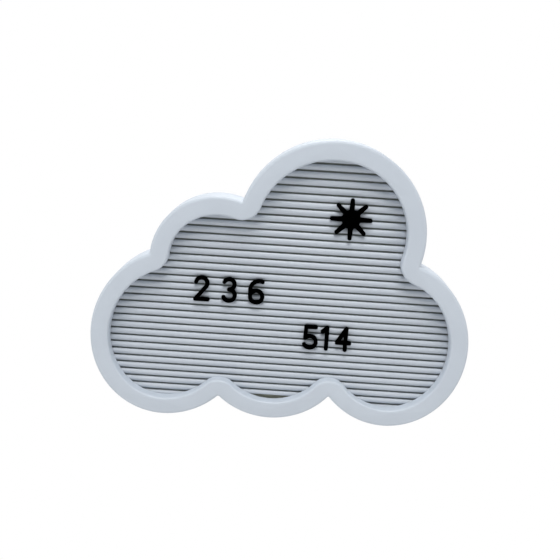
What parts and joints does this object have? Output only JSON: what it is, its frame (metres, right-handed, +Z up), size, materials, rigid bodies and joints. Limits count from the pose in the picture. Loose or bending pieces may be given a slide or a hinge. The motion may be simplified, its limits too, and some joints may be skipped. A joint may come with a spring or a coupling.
{
  "type": "letter board",
  "caption": "Cloud-shaped wall letter board: white ring frame around a ribbed, slotted panel with plug-in black digits and a sun.",
  "frame": {"origin": "on the flat back that lies against the wall, at the centre of the outline's box", "axes": "+X to the right for someone looking at the board, +Y into the wall, +Z up along the wall; the face looks along -Y"},
  "size_m": [0.2731, 0.018, 0.2081],
  "materials": {
    "frame_plastic": "satin cool white moulding",
    "panel_plastic": "satin cool white ribbed moulding",
    "cover_plastic": "fine-grained off-white sheet",
    "black_plastic": "satin black moulding",
    "screw_steel": "zinc-plated steel"
  },
  "bodies": {
    "root": {"frame": "frame_plastic", "letter_panel": "panel_plastic", "back_cover": "cover_plastic", "cover_screw_1": "screw_steel", "cover_screw_2": "screw_steel", "cover_screw_3": "screw_steel", "cover_screw_4": "screw_steel", "cover_screw_5": "screw_steel", "cover_screw_6": "screw_steel", "cover_screw_7": "screw_steel", "cover_screw_8": "screw_steel", "digit_one": "black_plastic", "digit_two": "black_plastic", "digit_three": "black_plastic", "digit_four": "black_plastic", "digit_five": "black_plastic", "digit_six": "black_plastic", "sun_symbol": "black_plastic"}
  },
  "joints": []
}
